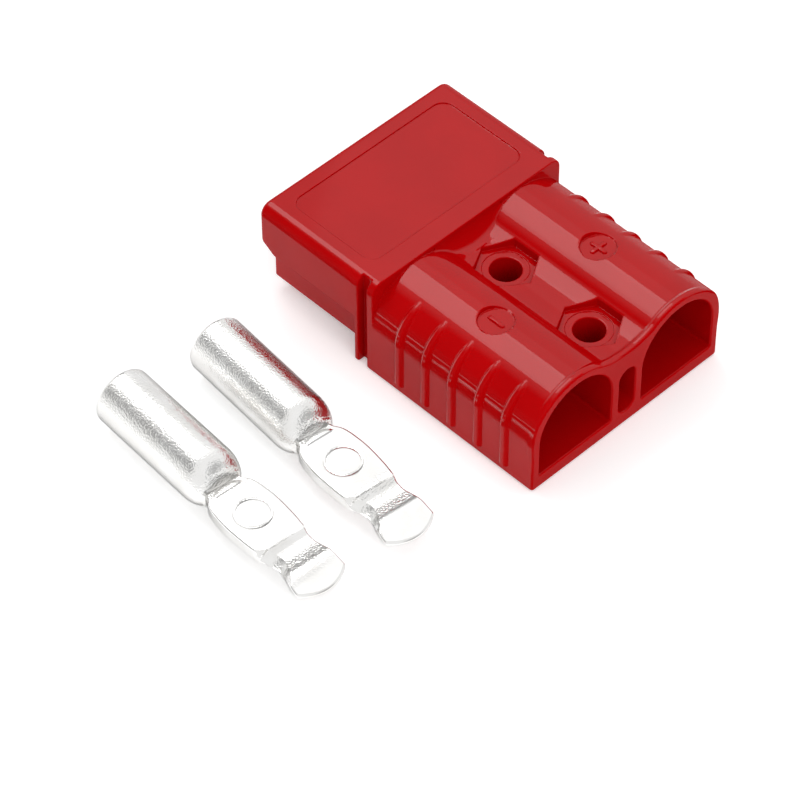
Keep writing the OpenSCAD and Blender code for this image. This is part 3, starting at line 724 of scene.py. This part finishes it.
def softMottle(noiseSpan=(0.3, 0.7), detail=3):
    # slow noise eased between two levels, for uneven colour and gloss; most of the noise lies in the span
    group, nodes, links, given, out = startGroup(
        "softMottle",
        [("Scale", "NodeSocketFloat", 60.0), ("Low", "NodeSocketFloat", 0.0),
         ("High", "NodeSocketFloat", 1.0)],
        [("Value", "NodeSocketFloat")])
    place = nodes.new("ShaderNodeTexCoord")
    noise = nodes.new("ShaderNodeTexNoise")
    noise.inputs["Detail"].default_value = detail
    links.new(place.outputs["Object"], noise.inputs["Vector"])
    links.new(given.outputs["Scale"], noise.inputs["Scale"])
    ease = nodes.new("ShaderNodeMapRange")
    ease.interpolation_type = "SMOOTHSTEP"
    ease.inputs["From Min"].default_value, ease.inputs["From Max"].default_value = noiseSpan
    links.new(noise.outputs["Fac"], ease.inputs["Value"])
    links.new(given.outputs["Low"], ease.inputs["To Min"])
    links.new(given.outputs["High"], ease.inputs["To Max"])
    links.new(ease.outputs["Result"], out.inputs["Value"])
    return group


grainGroup, mottleGroup = fineGrain(), softMottle()


# Materials

redPlastic = dict(
    colour=(0.450, 0.0010, 0.0020), deep=(0.415, 0.0007, 0.0016), mottleScale=70.0,
    gloss=(0.30, 0.42), glossScale=140.0, coatIor=2.0, coatRoughness=0.045,
    fineScale=2600.0, broadScale=170.0, broadShare=0.85, bumpDepth=0.00001,
    # painted reflection: coat share by the upward part of the surface's direction, some on walls and tops,
    # next to none on flanks, which paints them in shade
    paintedReflection=((0.0, 0.22), (0.03, 0.22), (0.08, 0.02), (0.84, 0.03), (0.93, 0.25)),
    # two painted highlight lines where a wall turns over into an arch
    paintedTurnHighlights=((0.19, 0.0), (0.265, 1.0), (0.285, 0.0), (0.345, 0.0), (0.365, 0.9), (0.385, 0.0)),
    # m along x where those painted lines begin, and they fade as the surface turns to face along x
    paintedHighlightsFrom=(-0.0235, -0.0225), paintedHighlightsAcross=(0.12, 0.30),
    # the arches' far sides keep their painted reflection further down
    farSide=(0.05, 0.15), farTilt=(0.60, 0.80), farShare=0.25,
    # faces to the mating end get a painted highlight, with shares on the hood and behind it
    paintedLeftHighlight=(-0.60, -0.15), leftShare=(0.20, 1.0),
    # faces to the cable end are painted in shade, with what is left of their reflection, and the share on
    # those square to it
    paintedShadeRight=(0.2, 0.6), paintedShadeShare=0.1, paintedRearReflection=(0.88, 0.97), rearShare=0.12,
)
silverPlate = dict(
    colour=(0.90, 0.895, 0.885), deep=(0.84, 0.83, 0.81), mottleScale=160.0,
    gloss=(0.08, 0.15), glossScale=420.0,
    fineScale=2500.0, broadScale=700.0, broadShare=0.10, bumpDepth=0.00011, edgeTint=0.38,
    # m along x where palm, dip and tip begin, and the share of the grain left on palm and tip
    palmStart=(-0.0150, -0.0125), dipStart=(0.002, 0.005), tipStart=(0.0100, 0.0120), smoothShare=0.10,
)
springSteel = dict(
    colour=(0.60, 0.60, 0.61), deep=(0.48, 0.48, 0.50), mottleScale=240.0,
    gloss=(0.30, 0.44), glossScale=500.0,
    fineScale=4200.0, broadScale=600.0, broadShare=0.3, bumpDepth=0.000006,
)


def finish(name, values, metallic):
    # mottled colour, mottled gloss and a fine tooth
    material = bpy.data.materials.new(name)
    material.use_nodes = True
    nodes, links = nodesOf(material.node_tree)
    out = nodes.new("ShaderNodeOutputMaterial")
    skin = nodes.new("ShaderNodeBsdfPrincipled")
    links.new(skin.outputs[0], out.inputs["Surface"])
    skin.inputs["Metallic"].default_value = metallic
    if "edgeTint" in values:
        skin.inputs["Specular Tint"].default_value = (*(values["edgeTint"],) * 3, 1)
    shade, gloss, grain = (nodes.new("ShaderNodeGroup") for _ in range(3))
    shade.node_tree, gloss.node_tree, grain.node_tree = mottleGroup, mottleGroup, grainGroup
    shade.inputs["Scale"].default_value = values["mottleScale"]
    gloss.inputs["Scale"].default_value = values["glossScale"]
    gloss.inputs["Low"].default_value, gloss.inputs["High"].default_value = values["gloss"]
    grain.inputs["Fine Scale"].default_value = values["fineScale"]
    grain.inputs["Broad Scale"].default_value = values["broadScale"]
    grain.inputs["Broad Share"].default_value = values["broadShare"]
    tone = nodes.new("ShaderNodeMix")
    tone.data_type = "RGBA"
    tone.inputs["A"].default_value = (*values["deep"], 1)
    tone.inputs["B"].default_value = (*values["colour"], 1)
    links.new(shade.outputs["Value"], tone.inputs["Factor"])
    links.new(tone.outputs["Result"], skin.inputs["Base Color"])
    links.new(gloss.outputs["Value"], skin.inputs["Roughness"])
    bump = nodes.new("ShaderNodeBump")
    bump.inputs["Distance"].default_value = values["bumpDepth"]
    height = grain.outputs["Height"]
    if "smoothShare" in values:
        along, share = nodes.new("ShaderNodeSeparateXYZ"), values["smoothShare"]
        links.new(nodes.new("ShaderNodeTexCoord").outputs["Object"], along.inputs[0])
        barrel = easeNode(nodes, links, along.outputs["X"], values["palmStart"], 1, share)
        dip = easeNode(nodes, links, along.outputs["X"], values["dipStart"], share, 1)
        dip = mathNode(nodes, links, "MINIMUM", dip,
                       easeNode(nodes, links, along.outputs["X"], values["tipStart"], 1, share))
        grained = mathNode(nodes, links, "MAXIMUM", barrel, dip)
        height = mathNode(nodes, links, "MULTIPLY", height, grained)
    links.new(height, bump.inputs["Height"])
    links.new(bump.outputs["Normal"], skin.inputs["Normal"])
    return material, skin


def rampNode(nodes, links, source, stops):
    # straight pieces between the stops, each a place from 0 to 1 and a level
    ramp = nodes.new("ShaderNodeValToRGB")
    while len(ramp.color_ramp.elements) < len(stops):
        ramp.color_ramp.elements.new(0.5)
    for element, (place, level) in zip(ramp.color_ramp.elements, stops):
        element.position, element.color = place, (level, level, level, 1)
    links.new(source, ramp.inputs["Fac"])
    return ramp.outputs["Color"]


def paintedReflectionCoat(material, skin, values):
    # painted reflection and highlights: the gloss is a coat whose share follows the direction that the
    # surface faces
    nodes, links = material.node_tree.nodes, material.node_tree.links
    # the base reflects nothing, so all gloss comes from the painted coat share
    skin.inputs["Specular IOR Level"].default_value = 0
    skin.inputs["Coat IOR"].default_value = values["coatIor"]
    skin.inputs["Coat Roughness"].default_value = values["coatRoughness"]
    facing, place = (nodes.new("ShaderNodeSeparateXYZ") for _ in range(2))
    links.new(nodes.new("ShaderNodeNewGeometry").outputs["Normal"], facing.inputs[0])
    links.new(nodes.new("ShaderNodeTexCoord").outputs["Object"], place.inputs[0])
    forward, aside, upward = (facing.outputs[axis] for axis in "XYZ")

    def ease(source, span, low, high):
        # from low to high across a named span
        return easeNode(nodes, links, source, values[span], low, high)

    def times(a, b):
        # product of two sockets
        return mathNode(nodes, links, "MULTIPLY", a, b)

    # painted shade: faces to the cable end lose most of their reflection
    shadedRight = ease(forward, "paintedShadeRight", 1, values["paintedShadeShare"])
    paintedReflection = times(rampNode(nodes, links, upward, values["paintedReflection"]), shadedRight)
    across = mathNode(nodes, links, "ABSOLUTE", forward)
    # painted highlight lines where a wall turns over into an arch, and painted highlights on faces to the
    # mating end
    begun = times(ease(place.outputs["X"], "paintedHighlightsFrom", 0, 1), ease(across, "paintedHighlightsAcross", 1, 0))
    lines = times(rampNode(nodes, links, upward, values["paintedTurnHighlights"]), begun)
    behind = ease(place.outputs["X"], "paintedHighlightsFrom", *values["leftShare"])
    leftHighlights = times(ease(forward, "paintedLeftHighlight", 1, 0), behind)
    # painted reflection kept on the arches' far sides
    away = times(ease(aside, "farSide", 0, 1), ease(upward, "farTilt", 0, values["farShare"]))
    rear = ease(forward, "paintedRearReflection", 0, values["rearShare"])
    weight = paintedReflection
    for share in (lines, leftHighlights, away, rear):
        weight = mathNode(nodes, links, "MAXIMUM", weight, share)
    links.new(weight, skin.inputs["Coat Weight"])


plastic, plasticSkin = finish("glossyRedPlastic", redPlastic, metallic=0.0)
paintedReflectionCoat(plastic, plasticSkin, redPlastic)
silver, _ = finish("silverPlate", silverPlate, metallic=1.0)
steel, _ = finish("springSteel", springSteel, metallic=1.0)
pieceFinish = dict(housingSkin=plastic, minusSign=plastic, plusSign=plastic,
                   contactNear=silver, contactFar=silver)
nodeFinish = dict(housing=plastic, contact_near=silver, contact_far=silver,
                  contact_spring_left=steel, contact_spring_right=steel)
for name, material in pieceFinish.items():
    bpy.data.objects[name].data.materials.append(material)
for name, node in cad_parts.items():
    node.data.materials.clear()
    node.data.materials.append(nodeFinish[name])
print("materials made")
